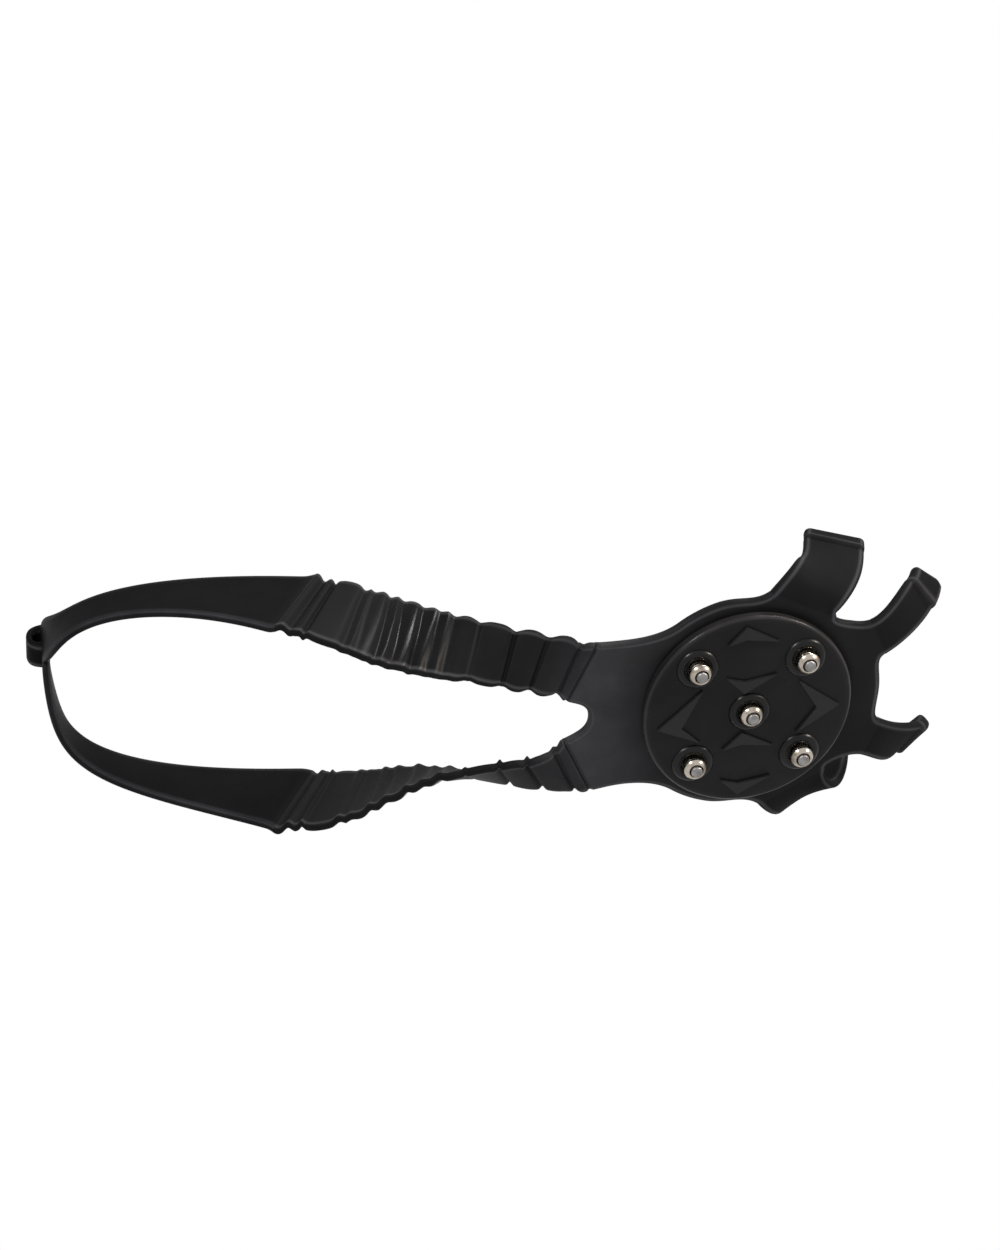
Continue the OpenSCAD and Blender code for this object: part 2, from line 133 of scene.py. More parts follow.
# Matt paint has no shine, so the floor shows nothing but its tone and the shadow
floor_paint = bpy.data.materials.new("matt floor paint")
floor_paint.use_nodes = True
tree = floor_paint.node_tree
tree.nodes.clear()
path = add_node(tree, "ShaderNodeLightPath")
side = add_node(tree, "ShaderNodeNewGeometry")
shown = add_node(
    tree, "ShaderNodeMath",
    {0: path.outputs["Is Camera Ray"], 1: side.outputs["Backfacing"]},
    operation="SUBTRACT", use_clamp=True,
)
paint = add_node(tree, "ShaderNodeBsdfDiffuse", {"Color": colour(floor_hex)})
clear = add_node(tree, "ShaderNodeBsdfTransparent")
mixed = add_node(tree, "ShaderNodeMixShader", {0: shown, 1: clear, 2: paint})
add_node(tree, "ShaderNodeOutputMaterial", {"Surface": mixed})
floor_mesh = bpy.data.meshes.new("floor")
corners = [(x * floor_half, y * floor_half, 0) for x, y in ((-1, -1), (1, -1), (1, 1), (-1, 1))]
floor_mesh.from_pydata(corners, [], [(0, 1, 2, 3)])
floor_mesh.materials.append(floor_paint)
floor = bpy.data.objects.new("floor", floor_mesh)
scene.collection.objects.link(floor)

# Each lamp: its place from the part to the right, up and towards the camera as the picture
# shows it, in metres, then its diameter, power, colour, whether the rubber mirrors it, and the
# angle of its beam. A grid on the lamp above keeps its light off the floor beside it.
lamp_target = Vector((-0.04, 0, 0.01))
lamps = {
    "key at the upper left": ((-0.70, 0.75, 0.95), 0.27, 13.0, "#ffffff", True, 180),
    "second at the right": ((1.15, 0.60, 0.35), 0.30, 16.0, "#fff4e6", True, 180),
    "lamp above": ((0.62, 1.15, 0.04), 0.26, 0.68, "#ffffff", True, 40),
    "fill from below": ((-0.05, -1.10, 0.70), 0.80, 11.0, "#ffffff", False, 180),
    "softbox behind": ((-0.30, 0.60, -1.20), 1.10, 4.0, "#ffffff", False, 180),
    "softbox beyond the toe": ((1.10, -0.60, -0.60), 0.90, 7.0, "#ffffff", False, 180),
}
for name, (place, size, power, hue, mirrored, beam) in lamps.items():
    light = bpy.data.lights.new(name, "AREA")
    light.shape = "DISK"
    light.size = size
    light.energy = power
    light.spread = math.radians(beam)
    light.color = colour(hue)[:3]
    lamp = bpy.data.objects.new(name, light)
    lamp.location = lamp_target + turn.to_3x3() @ Vector(place)
    lamp.rotation_euler = (lamp_target - lamp.location).to_track_quat("-Z", "Y").to_euler()
    lamp.visible_glossy = mirrored
    scene.collection.objects.link(lamp)


# Tread pad: a round, slightly crowned pad of hard black rubber, moulded with a low ring-shaped
# boss round each stud and six spark-textured arrow pockets. It is vulcanised to the web.
mm = 0.001
pad_high = np.array(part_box("tread_pad")[1]) / mm
pad_r = pad_high[0]
pad_t, rim_r, crown = 3.6, 1.1, 1.2
pad_z = pad_high[2] - pad_t
face_r = pad_r - rim_r
foot_in, foot_z = 0.5, 1.3
# Strength, place and width of the highlight painted along the rim, then where the rim is less rough
rim_highlight, rim_highlight_in, rim_highlight_w = 0.4, 0.4, 0.5
rim_shine_in, rim_shine_w = 0.3, 0.9
boss_ring, boss_round, boss_slope, boss_sunk = 4.95, 1.75, 72.0, 0.7
pad_steps, boss_steps, facet_angle = 256, 96, 12
stud_pitch = 34.0
arrow_d, arrow_wall, arrow_draft, deep_share = 2.0, 0.3, 0.035, 0.75
long_arrow = {"length": 13.0, "width": 18.0, "notch": 6.0}
short_arrow = {"length": 5.6, "width": 15.4, "notch": 1.6}
long_tip, outer_tip, inner_tip = 28.5, 30.0, 7.2
front_skew, rear_skew, short_skew = 1.0, -3.5, 2.2


def rubber(name, base_hex, highlight_and_bloom_hex, rough, grain_mm, grain_depth_mm, gloss):
    """Black rubber straight from the mould: a satin skin with faint cloudy bloom and a fine
    grain from the tool, with a highlight painted in a paler colour along its edges, and shiny where it
    is stretched. The real grain is under 0.1 mm, so it is drawn coarser to show."""
    bloom_mm, wave_mm, wave_depth_mm = 22.0, 5.0, 0.6
    cloud_share, stretch_shine, sleeker, duller = 0.04, 0.16, 0.05, 0.06
    made = bpy.data.materials.new(name)
    made.use_nodes = True
    tree = made.node_tree
    tree.nodes.clear()
    place = add_node(tree, "ShaderNodeTexCoord").outputs["Object"]
    bloom = add_node(
        tree, "ShaderNodeTexNoise",
        {"Vector": place, "Scale": 1 / (bloom_mm * mm), "Detail": 5.0, "Roughness": 0.6},
    )
    grain = add_node(
        tree, "ShaderNodeTexNoise",
        {"Vector": place, "Scale": 1 / (grain_mm * mm), "Detail": 2.0, "Roughness": 0.55},
    )
    wave = add_node(
        tree, "ShaderNodeTexNoise", {"Vector": place, "Scale": 1 / (wave_mm * mm), "Detail": 1.0}
    )
    edge = add_node(tree, "ShaderNodeAttribute", attribute_name="edge")
    # Painted highlight: the edge attribute lightens lines along the edges towards the paler colour, broken up
    # by the bloom noise
    edge_highlight = add_node(tree, "ShaderNodeMath", {0: edge.outputs["Fac"], 1: bloom}, operation="MULTIPLY")
    cloud = add_node(
        tree, "ShaderNodeMapRange",
        {"Value": bloom, "From Min": 0.35, "From Max": 0.75, "To Min": 0.0, "To Max": cloud_share},
    )
    share = add_node(tree, "ShaderNodeMath", {0: edge_highlight, 1: cloud}, operation="ADD", use_clamp=True)
    tint = add_node(
        tree, "ShaderNodeMix",
        {0: share, 6: colour(base_hex), 7: colour(highlight_and_bloom_hex)}, data_type="RGBA",
    )
    dull = add_node(
        tree, "ShaderNodeMapRange",
        {
            "Value": bloom, "From Min": 0.3, "From Max": 0.7,
            "To Min": rough - sleeker, "To Max": rough + duller,
        },
    )
    shine = add_node(tree, "ShaderNodeAttribute", attribute_name="shine")
    dull = add_node(
        tree, "ShaderNodeMath",
        {0: shine.outputs["Fac"], 1: -stretch_shine, 2: dull}, operation="MULTIPLY_ADD",
    )
    relief = add_node(
        tree, "ShaderNodeBump", {"Strength": 0.12, "Distance": wave_depth_mm * mm, "Height": wave}
    )
    skin = add_node(
        tree, "ShaderNodeBump",
        {
            "Strength": 0.5, "Distance": grain_depth_mm * mm, "Height": grain,
            "Normal": relief,
        },
    )
    shader = add_node(
        tree, "ShaderNodeBsdfPrincipled",
        {
            "Base Color": tint.outputs[2], "Roughness": dull, "Normal": skin,
            "IOR": 1.5, "Specular IOR Level": gloss,
        },
    )
    add_node(tree, "ShaderNodeOutputMaterial", {"Surface": shader})
    return made


def moulded(name, points, faces, material, smooth_to=35, **attributes):
    """A mesh object from points in millimetres, smooth except over edges sharper than that angle."""
    mesh = bpy.data.meshes.new(name)
    mesh.from_pydata((np.asarray(points) * mm).tolist(), [], faces)
    for key, values in attributes.items():
        values = np.asarray(values, np.float32)
        flat = values.ndim == 1
        layer = mesh.attributes.new(key, "FLOAT" if flat else "FLOAT_VECTOR", "POINT")
        layer.data.foreach_set("value" if flat else "vector", values.ravel())
    mesh.materials.append(material)
    mesh.shade_smooth()
    mesh.set_sharp_from_angle(angle=math.radians(smooth_to))
    made = bpy.data.objects.new(name, mesh)
    scene.collection.objects.link(made)
    return made


def turned(profile, steps):
    """Points and faces of a profile of (radius, height) turned about Z. Its ends lie on the axis."""
    angles = np.linspace(0, 2 * math.pi, steps, endpoint=False)
    rings = [[(r * math.cos(a), r * math.sin(a), z) for a in angles] for r, z in profile[1:-1]]
    points = [(0, 0, profile[0][1])] + sum(rings, []) + [(0, 0, profile[-1][1])]
    last, faces = len(points) - 1, []
    for i in range(steps):
        j = (i + 1) % steps
        faces.append((0, 1 + j, 1 + i))
        for k in range(len(rings) - 1):
            low, high = 1 + k * steps, 1 + (k + 1) * steps
            faces.append((low + i, low + j, high + j, high + i))
        top = 1 + (len(rings) - 1) * steps
        faces.append((top + i, top + j, last))
    return points, faces


def ease(t):
    """Smooth step from 0 to 1."""
    t = np.clip(t, 0, 1)
    return t * t * (3 - 2 * t)


def face_z(x, y):
    """Height of the pad's crowned face at a point."""
    return pad_z - crown * (1 - (x * x + y * y) / face_r**2)


def arrow_pocket(heading, tip, length, width, notch, skew, out):
    """Points and faces of the cutter of one arrow pocket, pointing out along a heading or, with
    out -1, to the pad's centre: walls with a little draft, and four facets to the deepest point."""
    outline = np.array([
        (tip, skew), (tip - out * length, out * width / 2),
        (tip + out * (notch - length), skew), (tip - out * length, -out * width / 2),
    ])
    c, s = math.cos(math.radians(heading)), math.sin(math.radians(heading))
    outline = outline @ np.array([[c, s], [-s, c]])
    deep = outline[0] + (outline[2] - outline[0]) * deep_share
    mouth = deep + (outline - deep) * (1 + arrow_draft)
    points = [(x, y, face_z(x, y) + arrow_wall) for x, y in outline]
    points += [(x, y, face_z(x, y)) for x, y in mouth]
    points += [(x, y, face_z(x, y) - 1) for x, y in mouth]
    points.append((*deep, face_z(*deep) + arrow_d))
    faces = [(12, (i + 1) % 4, i) for i in range(4)]
    for low in (0, 4):
        faces += [(low + i, low + (i + 1) % 4, low + 4 + (i + 1) % 4, low + 4 + i) for i in range(4)]
    faces += [(8, 9, 10), (8, 10, 11)]
    return points, [face[::-1] for face in faces]


def grown(piece, tree, **sizes):
    """Runs a node tree on a piece with the given named inputs and keeps the result as its mesh."""
    step = piece.modifiers.new(tree.name, "NODES")
    step.node_group = tree
    for item in tree.interface.items_tree:
        if item.in_out == "INPUT" and item.name in sizes:
            step[item.identifier] = sizes[item.name]
    shaped = bpy.data.meshes.new_from_object(piece.evaluated_get(bpy.context.evaluated_depsgraph_get()))
    piece.modifiers.remove(step)
    piece.data = shaped
    return piece


def node_tree(name, **inputs):
    """A geometry node tree with a geometry input and output and named inputs of the given kinds."""
    tree = bpy.data.node_groups.new(name, "GeometryNodeTree")
    tree.interface.new_socket("Geometry", in_out="INPUT", socket_type="NodeSocketGeometry")
    for key, kind in inputs.items():
        tree.interface.new_socket(key, in_out="INPUT", socket_type="NodeSocket" + kind)
    tree.interface.new_socket("Geometry", in_out="OUTPUT", socket_type="NodeSocketGeometry")
    return tree, tree.nodes.new("NodeGroupInput")


def stud_places(tree, given):
    """Adds the places of the studs to a tree, at the corners and the centre of a square."""
    pitch = given.outputs["Pitch"]
    square = add_node(
        tree, "GeometryNodeMeshGrid", {"Size X": pitch, "Size Y": pitch, "Vertices X": 2, "Vertices Y": 2}
    )
    middle = add_node(tree, "GeometryNodeMeshLine", {"Count": 1})
    joined = add_node(tree, "GeometryNodeJoinGeometry", {0: square.outputs["Mesh"]})
    tree.links.new(middle.outputs["Mesh"], joined.inputs[0])
    return joined


# Hard rubber: a dull black with a weak satin shine. The tool is polished at the bosses, which
# makes them blacker and lets them mirror the lamps as thin arcs. It is spark-eroded in the
# pockets, which makes them grey and matt; that texture is drawn coarser than it is, too.
tread_rubber = rubber(
    "hard tread rubber", "#100f10", "#555354", rough=0.38, grain_mm=0.35, grain_depth_mm=0.03, gloss=0.1
)
boss_rubber = rubber(
    "polished tread rubber", "#060606", "#555354", rough=0.28, grain_mm=0.35, grain_depth_mm=0.01, gloss=0.2
)
pocket_rubber = rubber(
    "spark-textured tread rubber", "#1c1c1d", "#5a5657",
    rough=0.44, grain_mm=0.7, grain_depth_mm=0.35, gloss=0.12,
)

# The pattern of the pad by one tree: the pockets are cut, and a boss stands square on the
# crowned face at each stud.
tree, given = node_tree(
    "Pad pattern", Pitch="Float", Face="Float", Dome="Float", Boss="Object", Pockets="Object",
    Polish="Material",
)
spot = add_node(tree, "GeometryNodeInputPosition")
out2 = add_node(tree, "ShaderNodeVectorMath", {0: spot, 1: spot}, operation="DOT_PRODUCT").outputs["Value"]
height = add_node(
    tree, "ShaderNodeMath",
    {0: out2, 1: given.outputs["Dome"], 2: given.outputs["Face"]}, operation="MULTIPLY_ADD",
)
lift = add_node(tree, "ShaderNodeCombineXYZ", {"Z": height})
fall = add_node(tree, "ShaderNodeMath", {0: given.outputs["Dome"], 1: -2.0}, operation="MULTIPLY")
tilt = add_node(tree, "ShaderNodeVectorMath", {0: spot, "Scale": fall}, operation="SCALE")
tilt = add_node(tree, "ShaderNodeVectorMath", {0: tilt, 1: (0, 0, 1)}, operation="ADD")
upright = add_node(tree, "FunctionNodeAlignRotationToVector", {"Vector": tilt}, axis="Z")
boss = add_node(tree, "GeometryNodeObjectInfo", {"Object": given.outputs["Boss"]})
bosses = add_node(
    tree, "GeometryNodeInstanceOnPoints",
    {"Points": stud_places(tree, given), "Instance": boss.outputs["Geometry"], "Rotation": upright},
)
bosses = add_node(
    tree, "GeometryNodeTranslateInstances", {0: bosses, "Translation": lift, "Local Space": False}
)
pockets = add_node(tree, "GeometryNodeObjectInfo", {"Object": given.outputs["Pockets"]})
cut = add_node(
    tree, "GeometryNodeMeshBoolean",
    {"Mesh 1": given.outputs["Geometry"], "Mesh 2": pockets.outputs["Geometry"]}, operation="DIFFERENCE",
)
joined = add_node(tree, "GeometryNodeJoinGeometry", {0: cut.outputs["Mesh"]})
tree.links.new(bosses.outputs[0], joined.inputs[0])
real = add_node(tree, "GeometryNodeRealizeInstances", {0: joined})
on_boss = add_node(tree, "GeometryNodeInputNamedAttribute", {"Name": "boss"}, data_type="FLOAT")
dressed = add_node(
    tree, "GeometryNodeSetMaterial",
    {"Geometry": real, "Selection": on_boss, "Material": given.outputs["Polish"]},
)
add_node(tree, "NodeGroupOutput", {0: dressed})

pad_profile = [(face_r * i / 24, face_z(face_r * i / 24, 0)) for i in range(24)]
pad_profile += [
    (face_r + rim_r * math.sin(a), pad_z + rim_r * (1 - math.cos(a)))
    for a in np.radians(np.linspace(0, 90, 12))
]
pad_profile += [
    (pad_r, pad_high[2] - foot_z), (pad_r - foot_in, pad_high[2] - foot_z + foot_in),
    (pad_r - foot_in, pad_high[2]), (0, pad_high[2]),
]
pad_points, pad_faces = turned(pad_profile, pad_steps)
from_rim = pad_r - np.hypot(*np.array(pad_points).T[:2])
# Painted highlight: the edge attribute lays a paler line just inside the rim
tread_pad = moulded(
    "tread_pad_moulding", pad_points, pad_faces, tread_rubber,
    edge=rim_highlight * np.exp(-(((from_rim - rim_highlight_in) / rim_highlight_w) ** 2)),
    shine=np.exp(-(((from_rim - rim_shine_in) / rim_shine_w) ** 2)),
)
boss_arc = np.radians(np.linspace(-boss_slope, boss_slope, 31))
boss_rise = boss_round * (np.cos(boss_arc) - math.cos(boss_arc[0]))
boss_profile = [(0, 0), *zip(boss_ring + boss_round * np.sin(boss_arc), -boss_rise)]
boss_profile += [(boss_profile[-1][0], boss_sunk), (0, boss_sunk)]
boss_points, boss_faces = turned(boss_profile, boss_steps)
boss_piece = moulded("boss", boss_points, boss_faces, boss_rubber, boss=np.ones(len(boss_points)))
pocket_points, pocket_faces = [], []
for heading, tip, size, skew, out in (
    (0, long_tip, long_arrow, front_skew, 1), (180, long_tip, long_arrow, rear_skew, 1),
    (90, outer_tip, short_arrow, short_skew, 1), (-90, outer_tip, short_arrow, -short_skew, 1),
    (90, inner_tip, short_arrow, short_skew, -1), (-90, inner_tip, short_arrow, -short_skew, -1),
):
    points, faces = arrow_pocket(heading, tip, **size, skew=skew, out=out)
    pocket_faces += [tuple(i + len(pocket_points) for i in face) for face in faces]
    pocket_points += points
pocket_piece = moulded("pockets", pocket_points, pocket_faces, pocket_rubber)
grown(
    tread_pad, tree, Pitch=stud_pitch * mm, Face=face_z(0, 0) * mm, Dome=crown / face_r**2 / mm,
    Boss=boss_piece, Pockets=pocket_piece, Polish=boss_rubber,
)
tread_pad.data.set_sharp_from_angle(angle=math.radians(facet_angle))
for used in (boss_piece, pocket_piece):
    bpy.data.objects.remove(used)
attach(tread_pad, "sole")
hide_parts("tread_pad")


# Studs: five turned steel studs, nickel plated. A flange sits in the web, a ringed neck comes
# through the pad, and a tapered collar outside the boss holds the carbide pin in a wider mouth.
pin_out, pin_d, pin_l, pin_bevel, pin_play = 0.8, 3.6, 4.0, 0.3, 0.05
collar_d, collar_h, collar_tip_d, collar_bevel = 7.2, 2.2, 5.4, 0.5
mouth_d, mouth_l, mouth_taper = 4.3, 0.5, 0.4
shank_d, flange_d, flange_t, flange_proud = 5.6, 12.0, 1.2, 0.13
thread_pitch, thread_h, thread_turns = 1.0, 0.25, 2
seat_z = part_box("sole_web")[1][2] / mm
corner_r, stud_steps = 0.12, 72
stud_names = [f"stud_{place}" for place in ("centre", "front_left", "front_right", "rear_left", "rear_right")]
pin_names = [name.replace("stud", "pin") for name in stud_names]


def metal(name, base_hex, stain_hex, rough, grit_mm, scratch):
    """Metal with fine turning marks or grit and a few duller, darker patches from handling. The
    marks are drawn coarser than they are, to show."""
    patch_mm, mark_depth_mm, stain_share, sleeker, duller = 2.5, 0.02, 0.7, 0.06, 0.12
    made = bpy.data.materials.new(name)
    made.use_nodes = True
    tree = made.node_tree
    tree.nodes.clear()
    place = add_node(tree, "ShaderNodeTexCoord").outputs["Object"]
    patch = add_node(
        tree, "ShaderNodeTexNoise", {"Vector": place, "Scale": 1 / (patch_mm * mm), "Detail": 4.0}
    )
    grit = add_node(
        tree, "ShaderNodeTexNoise", {"Vector": place, "Scale": 1 / (grit_mm * mm), "Detail": 2.0}
    )
    dirt = add_node(
        tree, "ShaderNodeMapRange",
        {"Value": patch, "From Min": 0.42, "From Max": 0.68, "To Min": 0.0, "To Max": stain_share},
    )
    tint = add_node(
        tree, "ShaderNodeMix",
        {0: dirt, 6: colour(base_hex), 7: colour(stain_hex)}, data_type="RGBA",
    )
    dull = add_node(
        tree, "ShaderNodeMapRange",
        {
            "Value": patch, "From Min": 0.3, "From Max": 0.7,
            "To Min": rough - sleeker, "To Max": rough + duller,
        },
    )
    relief = add_node(
        tree, "ShaderNodeBump",
        {"Strength": scratch, "Distance": mark_depth_mm * mm, "Height": grit},
    )
    shader = add_node(
        tree, "ShaderNodeBsdfPrincipled",
        {
            "Base Color": tint.outputs[2], "Metallic": 1.0, "Roughness": dull,
            "Normal": relief,
        },
    )
    add_node(tree, "ShaderNodeOutputMaterial", {"Surface": shader})
    return made


def bevelled(profile, r):
    """The profile with each corner between its ends cut back by r on both sides."""
    cut = [profile[0]]
    for before, at, after in zip(profile, profile[1:], profile[2:]):
        at = np.array(at, float)
        for other in (before, after):
            step = np.array(other, float) - at
            length = np.hypot(*step)
            cut.append(tuple(at + step / length * min(r, length / 2.5)))
    return cut + [profile[-1]]


tree, given = node_tree("Stud places", Pitch="Float", Metal="Material")
copies = add_node(
    tree, "GeometryNodeInstanceOnPoints",
    {"Points": stud_places(tree, given), "Instance": given.outputs["Geometry"]},
)
real = add_node(tree, "GeometryNodeRealizeInstances", {0: copies})
plated = add_node(tree, "GeometryNodeSetMaterial", {0: real, "Material": given.outputs["Metal"]})
add_node(tree, "NodeGroupOutput", {0: plated})

# Nickel on turned steel is a warm, bright mirror. Sintered carbide, ground flat, is a dull grey.
nickel = metal("nickel-plated turned steel", "#b3aa9e", "#5e5145", rough=0.20, grit_mm=0.12, scratch=0.05)
carbide = metal("sintered carbide", "#8e8c8b", "#6a6866", rough=0.42, grit_mm=0.08, scratch=0.5)
collar_r, shank_r, flange_r, bore_r = collar_d / 2, shank_d / 2, flange_d / 2, pin_d / 2 + pin_play
collar_top, proud_z = pin_out + collar_h, seat_z + flange_proud
stud_profile = [
    (0, pin_l), (bore_r, pin_l), (bore_r, pin_out + mouth_l + mouth_taper), (mouth_d / 2, pin_out + mouth_l),
    (mouth_d / 2, pin_out), (collar_tip_d / 2, pin_out), (collar_r, collar_top - 2 * collar_bevel),
    (collar_r, collar_top - collar_bevel), (collar_r - collar_bevel, collar_top), (shank_r, collar_top),
    *(
        (shank_r + thread_h * (k % 2), collar_top + thread_pitch * (k + 1) / 2)
        for k in range(2 * thread_turns)
    ),
    (shank_r, seat_z - flange_t), (flange_r, seat_z - flange_t), (flange_r, proud_z), (0, proud_z),
]
pin_profile = [(0, 0), (pin_d / 2 - pin_bevel, 0), (pin_d / 2, pin_bevel), (pin_d / 2, pin_l), (0, pin_l)]
for name, profile, material, nodes, slot in (
    ("studs", stud_profile, nickel, stud_names, "stud_steel"),
    ("pins", pin_profile, carbide, pin_names, "carbide"),
):
    points, faces = turned(bevelled(profile, corner_r), stud_steps)
    piece = moulded(name, points, faces, material, smooth_to=50)
    grown(piece, tree, Pitch=stud_pitch * mm, Metal=material)
    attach(piece, "sole")
    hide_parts(*nodes)


# Sole web: the flat sheet of the rubber harness under the ball of the foot. Its free edges are
# round and curl up a little; hooks and bands grow out of it along straight roots, the bands
# behind a moulded crease. A grey bloom has come out of the rubber between them.
web_z = pad_high[2]
web_t = seat_z - web_z
web_mid = (web_z + seat_z) / 2
web_r = pad_r + 4.0
edge_share = 0.42
curl_h, curl_w, curl_fade = 0.7, 2.6, 7.0
crease_back, crease_w, crease_d, crease_over, crease_fade = 0.9, 0.6, 1.1, 1.3, 0.5
wear_in, wear_w = 1.2, 0.45
bloom_x, bloom_w, bloom_share = -50.0, 20.0, 0.6
web_front, notch_back = 10.5, 16.0
band_root_w, band_root_back, band_root_side, band_heading = 21.0, 20.0, 17.0, 25.0
side_angle, side_root_w, side_flare = 62.5, 24.0, 24.0
front_angle, front_root_out, front_root_w = 23.5, 12.5, 13.5
waist_angle, shoulder_angle = 126.0, 106.0
wave_slant = 16.0
# Lengths of the handles that round the outline off, from the rear notch to the toe
notch_ease, fork_ease, band_ease, waist_ease = 5.0, (4.0, -2.0, 0.0), (9.0, -1.0, 0.0), 9.0
shoulder_ease, side_ease, gap_ease, front_ease, toe_ease, root_tail = 7.0, 6.0, 1.5, 3.5, 6.0, 4.0


def along(angle):
    """Unit vector at that angle from the toe, in the plane of the web."""
    return np.array([math.cos(math.radians(angle)), math.sin(math.radians(angle)), 0.0])


def across(angle):
    """Unit vector square to along(), to its right."""
    return np.array([math.sin(math.radians(angle)), -math.cos(math.radians(angle)), 0.0])


def bezier(handles, t):
    """Points of a cubic curve at the shares t."""
    p, t = [np.asarray(h, float) for h in handles], np.asarray(t, float)[:, None]
    s = 1 - t
    return s**3 * p[0] + 3 * t * s * s * p[1] + 3 * t * t * s * p[2] + t**3 * p[3]


def bezier_rate(handles, t):
    """Rate of change of a cubic curve at the shares t."""
    p, t = [np.asarray(h, float) for h in handles], np.asarray(t, float)[:, None]
    s = 1 - t
    return 3 * (s * s * (p[1] - p[0]) + 2 * t * s * (p[2] - p[1]) + t * t * (p[3] - p[2]))


up = np.array([0.0, 0.0, 1.0])
level = up * web_mid
band_root = np.array([-(pad_r + band_root_back), band_root_side, web_mid])
band_dir, band_edge = along(180 - band_heading), across(180 - band_heading) * band_root_w / 2
side_root, side_edge = along(side_angle) * web_r + level, across(side_angle) * side_root_w / 2
front_root = along(front_angle) * (pad_r + front_root_out) + level
front_edge = across(front_angle) * front_root_w / 2
notch = np.array([-(pad_r + notch_back), 0, web_mid])
waist = along(waist_angle) * web_r + level
shoulder = along(shoulder_angle) * web_r + level
front = np.array([pad_r + web_front, 0, web_mid])
shares = np.linspace(0, 1, 48)
arc = np.radians(np.linspace(waist_angle, shoulder_angle, 24))
free_runs = [
    bezier([notch, notch + [0, notch_ease, 0],
            band_root - band_edge + fork_ease, band_root - band_edge], shares),
    np.vstack([
        bezier([band_root + band_edge, band_root + band_edge + band_ease,
                waist + waist_ease * along(waist_angle + 90), waist], shares),
        np.stack([web_r * np.cos(arc), web_r * np.sin(arc), np.full(arc.size, web_mid)], axis=1)[1:-1],
        bezier([shoulder, shoulder + shoulder_ease * along(shoulder_angle - 90),
                side_root - side_edge - side_ease * along(side_angle - side_flare),
                side_root - side_edge], shares),
    ]),
    bezier([side_root + side_edge, side_root + side_edge - gap_ease * along(side_angle),
            front_root - front_edge - front_ease * along(front_angle), front_root - front_edge], shares),
    bezier([front_root + front_edge, front_root + front_edge - front_ease * along(front_angle),
            front + [0, toe_ease, 0], front], shares),
]
seams = [
    np.linspace(root - edge, root + edge, n)
    for root, edge, n in (
        (band_root, band_edge, 40), (side_root, side_edge, 40), (front_root, front_edge, 24)
    )
]
half = np.vstack([
    free_runs[0], seams[0][1:-1], free_runs[1], seams[1][1:-1], free_runs[2], seams[2][1:-1], free_runs[3]
])
flip = np.array([1, -1, 1])
outline = np.vstack([half, (half * flip)[-2:0:-1]])


def distance(points, runs):
    """Least distance in plan from each point to a set of runs of points."""
    starts = np.vstack([run[:-1, :2] for run in runs])
    steps = np.vstack([np.diff(run[:, :2], axis=0) for run in runs])
    found = np.full(len(points), np.inf)
    for start, step in zip(starts, steps):
        share = np.clip((points[:, :2] - start) @ step / (step @ step), 0, 1)
        found = np.minimum(found, np.hypot(*(points[:, :2] - start - share[:, None] * step).T))
    return found


root_tails = [
    (band_root - band_edge, band_dir), (band_root + band_edge, band_dir),
    (side_root - side_edge, along(side_angle)), (side_root + side_edge, along(side_angle)),
    (front_root - front_edge, along(front_angle)), (front_root + front_edge, along(front_angle)),
]
edges = free_runs + [np.array([corner, corner + root_tail * heading]) for corner, heading in root_tails]
edges += [run * flip for run in edges]
all_seams = seams + [run * flip for run in seams]
crease_at = band_root - band_dir * crease_back
creases = [np.array([crease_at - crease_over * band_edge, crease_at + crease_over * band_edge])]
creases += [run * flip for run in creases]
reach = np.hypot(outline[:, 0], outline[:, 1])
# Rings of the sheet, closest together along its round edge
inset = np.concatenate([
    [0, 0.06], np.arange(0.15, 2.9, 0.15), np.arange(3, 5.6, 0.4), [6, 6.6, 7.5, 9, 11, 14],
    np.linspace(18, reach.min() - 2, 6),
])
grid = np.stack([outline * (1 - d / reach)[:, None] for d in inset])
flat_grid = grid.reshape(-1, 3)
from_edge = distance(flat_grid, edges)
from_seam = distance(flat_grid, all_seams)
from_crease = distance(flat_grid, creases)
edge_r = web_t * edge_share
drop = edge_r - np.sqrt(np.clip(edge_r**2 - np.clip(edge_r - from_edge, 0, None) ** 2, 0, None))
curl = curl_h * np.exp(-((from_edge / curl_w) ** 2)) * (1 - np.exp(-((from_seam / curl_fade) ** 2)))
sunk = crease_d * np.exp(-((from_crease / crease_w) ** 2)) * ease(from_seam / crease_fade)
below, above = flat_grid.copy(), flat_grid.copy()
below[:, 2] = web_z + drop + curl + sunk
above[:, 2] = seat_z - drop + curl
n, rows = len(outline), len(inset)
web_points = np.vstack([below, above, [[0, 0, web_z]], [[0, 0, seat_z]]])
top, low_centre, high_centre = rows * n, 2 * rows * n, 2 * rows * n + 1
web_faces = []
for i in range(n):
    j = (i + 1) % n
    web_faces.append((i, top + i, top + j, j))
    for k in range(rows - 1):
        a, b = k * n, (k + 1) * n
        web_faces.append((a + i, a + j, b + j, b + i))
        web_faces.append((top + a + i, top + b + i, top + b + j, top + a + j))
    inner = (rows - 1) * n
    web_faces.append((inner + i, inner + j, low_centre))
    web_faces.append((top + inner + i, high_centre, top + inner + j))

# Soft rubber: near black with a low sheen, greyer where bloom has come out
harness_skin = {"highlight_and_bloom_hex": "#49484b", "grain_mm": 0.28, "grain_depth_mm": 0.025}
harness_rubber = rubber("satin harness rubber", "#161617", rough=0.38, gloss=0.035, **harness_skin)


def edge_line(inside):
    """How rubbed the rubber is at a distance from its edge: most along a line just inside it."""
    return np.exp(-(((np.asarray(inside).ravel() - wear_in) / wear_w) ** 2))


